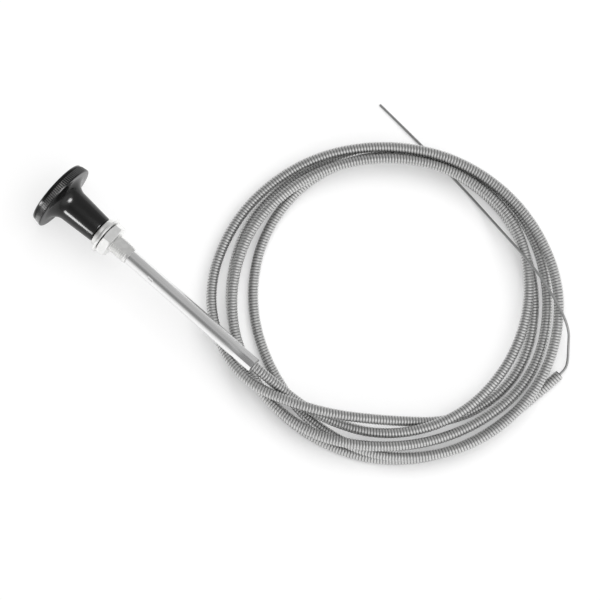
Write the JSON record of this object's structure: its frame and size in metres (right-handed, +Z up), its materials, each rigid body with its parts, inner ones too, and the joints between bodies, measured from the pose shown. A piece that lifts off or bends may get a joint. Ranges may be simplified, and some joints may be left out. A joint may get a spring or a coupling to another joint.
{
  "type": "push-pull control cable",
  "caption": "Push-pull control cable: bell knob on a sliding rod, threaded panel bushing with nut and washer, barrel, coiled spiral conduit and a free inner wire.",
  "frame": {"origin": "on the barrel's axis, at the face of the bushing's shoulder where a panel seats", "axes": "+X along the barrel from the knob to the conduit, +Z up from the floor that it lies on"},
  "size_m": [0.2449, 0.1729, 0.0356],
  "materials": {
    "black_plastic": "gloss",
    "plated_steel": "zinc plated",
    "conduit_steel": "drawn",
    "bright_steel": "ground",
    "spring_steel": "drawn",
    "brass": "turned"
  },
  "bodies": {
    "cable": {"bushing": "plated_steel", "friction_ring": "spring_steel", "barrel_tube": "plated_steel", "conduit": "conduit_steel", "wire_core": "spring_steel", "wire_tail": "spring_steel"},
    "washer": {"lock_washer": "plated_steel"},
    "nut": {"panel_nut": "plated_steel"},
    "rod_stop": {"stop_ring": "spring_steel"},
    "pull": {"knob": "black_plastic", "knob_insert": "brass", "pull_rod": "bright_steel", "wire_head": "spring_steel"}
  },
  "joints": [
    {"name": "pull_slide", "type": "slide", "parent": "cable", "child": "rod_stop", "axis": [-1, 0, 0], "range_m": [0, 0.0508]},
    {"name": "knob_turn", "type": "hinge", "parent": "rod_stop", "child": "pull", "pos_m": [0, 0, 0], "axis": [1, 0, 0], "continuous": true},
    {"name": "nut_travel", "type": "slide", "parent": "cable", "child": "washer", "axis": [1, 0, 0], "range_m": [0, 0.0085]},
    {"name": "nut_spin", "type": "hinge", "parent": "washer", "child": "nut", "pos_m": [0, 0, 0], "axis": [1, 0, 0], "range_deg": [0, 2900]}
  ],
  "couplings": [
    {"joint": "nut_spin", "follows": "nut_travel", "rad_per_m": 5936.9}
  ]
}
